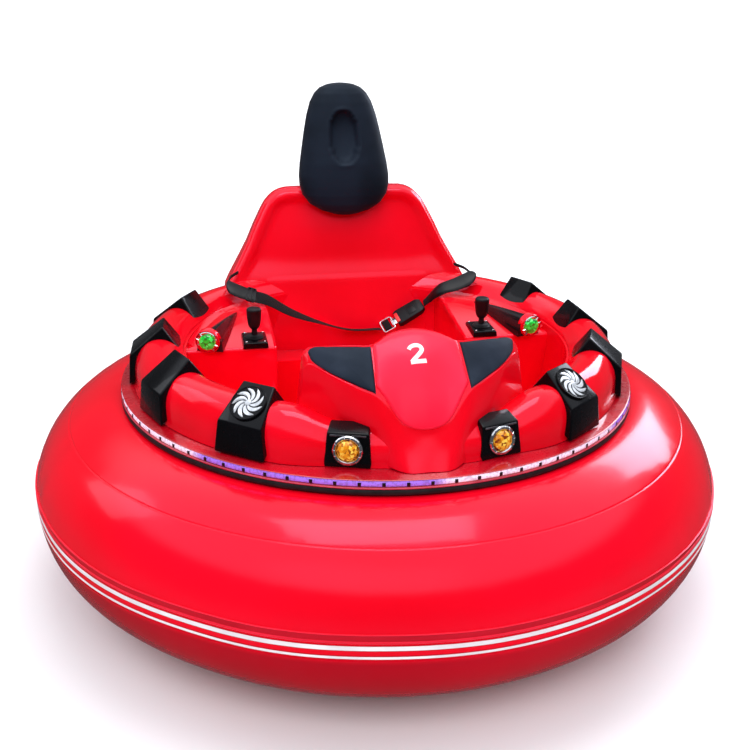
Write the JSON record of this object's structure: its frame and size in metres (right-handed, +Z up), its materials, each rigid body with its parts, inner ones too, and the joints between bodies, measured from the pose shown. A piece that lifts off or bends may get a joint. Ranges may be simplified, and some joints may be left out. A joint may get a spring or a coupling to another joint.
{
  "type": "inflatable-ring bumper car",
  "caption": "Round electric bumper car on a red inflatable tube, with a lamp-studded ring cowl, tall seat and twin steering joysticks.",
  "frame": {"origin": "on the floor under the middle of the round tube", "axes": "+Z up, the nose points to -Y, +X is the rider's left"},
  "size_m": [1.95, 1.95, 1.3267],
  "materials": {
    "red_vinyl": "coated tarpaulin, satin gloss",
    "red_gelcoat": "polished gelcoat",
    "dark_red_pvc": "scuffed gloss",
    "led_strip": "lit diffuser",
    "black_rubber": "matte",
    "black_gloss": "gloss",
    "black_foam": "integral skin foam",
    "black_grip": "matte",
    "amber_lens": "facetted amber lens in a chrome bezel",
    "green_lens": "facetted green lens in a chrome bezel",
    "webbing": "woven polyester",
    "chrome": "polished",
    "frame_steel": "powder coat",
    "zinc": "zinc plated",
    "tyre": "solid rubber",
    "battery_case": "matte"
  },
  "bodies": {
    "car_body": {"inflatable_tube": "red_vinyl", "ring_cowl": "red_gelcoat", "cockpit_tub": "red_gelcoat", "nose_console": "red_gelcoat", "seat_back": "red_gelcoat", "light_rail": "dark_red_pvc", "led_strip": "led_strip", "tube_gasket": "black_rubber", "headrest": "black_foam", "headrest_bracket": "frame_steel", "belt_tongue": "chrome", "belt_buckle": "black_gloss", "chassis_frame": "frame_steel", "battery_pack": "battery_case", "fan_block_left": "black_gloss", "side_block_front_left": "black_gloss", "side_block_middle_left": "black_gloss", "side_block_rear_left": "black_gloss", "lamp_block_left": "black_gloss", "lamp_pod_left": "black_gloss", "joystick_base_left": "black_gloss", "turbine_lamp_left": "black_gloss", "amber_lamp_left": "amber_lens", "green_lamp_left": "green_lens", "console_pad_left": "black_foam", "lap_belt_left": "webbing", "drive_motor_left": "frame_steel", "fan_block_right": "black_gloss", "side_block_front_right": "black_gloss", "side_block_middle_right": "black_gloss", "side_block_rear_right": "black_gloss", "lamp_block_right": "black_gloss", "lamp_pod_right": "black_gloss", "joystick_base_right": "black_gloss", "turbine_lamp_right": "black_gloss", "amber_lamp_right": "amber_lens", "green_lamp_right": "green_lens", "console_pad_right": "black_foam", "lap_belt_right": "webbing", "drive_motor_right": "frame_steel"},
    "drive_wheel_left": {"drive_hub_left": "zinc", "drive_tyre_left": "tyre"},
    "stick_left": {"joystick_left": "black_grip"},
    "drive_wheel_right": {"drive_hub_right": "zinc", "drive_tyre_right": "tyre"},
    "stick_right": {"joystick_right": "black_grip"},
    "caster_front": {"caster_fork_front": "zinc"},
    "roller_front": {"caster_wheel_front": "tyre"},
    "caster_rear": {"caster_fork_rear": "zinc"},
    "roller_rear": {"caster_wheel_rear": "tyre"}
  },
  "joints": [
    {"name": "drive_spin_left", "type": "hinge", "parent": "car_body", "child": "drive_wheel_left", "pos_m": [0.3, 0, 0.1], "axis": [1, 0, 0], "continuous": true},
    {"name": "drive_spin_right", "type": "hinge", "parent": "car_body", "child": "drive_wheel_right", "pos_m": [-0.3, 0, 0.1], "axis": [1, 0, 0], "continuous": true},
    {"name": "caster_swivel_front", "type": "hinge", "parent": "car_body", "child": "caster_front", "pos_m": [0, -0.3, 0.16], "axis": [0, 0, 1], "continuous": true},
    {"name": "caster_roll_front", "type": "hinge", "parent": "caster_front", "child": "roller_front", "pos_m": [0, -0.27, 0.05], "axis": [1, 0, 0], "continuous": true},
    {"name": "caster_swivel_rear", "type": "hinge", "parent": "car_body", "child": "caster_rear", "pos_m": [0, 0.3, 0.16], "axis": [0, 0, 1], "continuous": true},
    {"name": "caster_roll_rear", "type": "hinge", "parent": "caster_rear", "child": "roller_rear", "pos_m": [0, 0.33, 0.05], "axis": [1, 0, 0], "continuous": true},
    {"name": "stick_tilt_left", "type": "hinge", "parent": "car_body", "child": "stick_left", "pos_m": [0.341, 0.106, 0.68607], "axis": [1, 0, 0], "range_deg": [-18, 18], "stiffness_Nm_per_rad": 0.8},
    {"name": "stick_tilt_right", "type": "hinge", "parent": "car_body", "child": "stick_right", "pos_m": [-0.341, 0.106, 0.68607], "axis": [1, 0, 0], "range_deg": [-18, 18], "stiffness_Nm_per_rad": 0.8}
  ]
}
